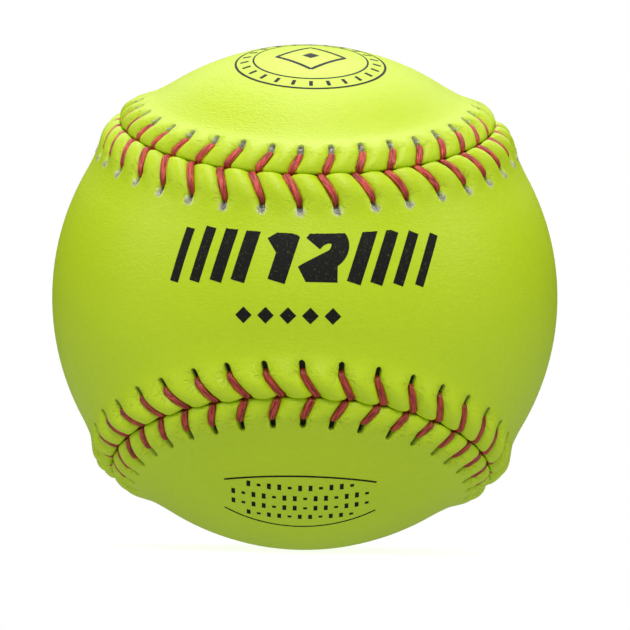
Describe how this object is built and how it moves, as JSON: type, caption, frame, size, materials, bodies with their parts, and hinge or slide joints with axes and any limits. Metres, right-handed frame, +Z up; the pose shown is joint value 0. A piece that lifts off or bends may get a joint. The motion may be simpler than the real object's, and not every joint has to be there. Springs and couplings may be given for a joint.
{
  "type": "softball",
  "caption": "Optic yellow softball: two sewn dog-bone cover panels with a raised herringbone seam in red thread, over a wound core.",
  "frame": {"origin": "centre of the ball", "axes": "+Z up; -Y points out of the middle of the front panel's waist, towards the viewer of the picture; the front panel's lobes lie at -X and +X, the back panel's at +Z and -Z, and its waist at +Y"},
  "size_m": [0.097, 0.097, 0.097],
  "materials": {
    "cover": "fine-grained synthetic leather, satin",
    "thread": "waxed two-ply thread",
    "rubber_cement": "dried rubber cement, dull",
    "yarn": "wound yarn",
    "cork": "moulded cork and rubber"
  },
  "bodies": {
    "root": {"cork_core": "cork", "yarn_winding": "yarn", "latex_coat": "rubber_cement", "cover_panel_front": "cover", "cover_panel_back": "cover", "thread_leading": "thread", "thread_following": "thread"}
  },
  "joints": []
}
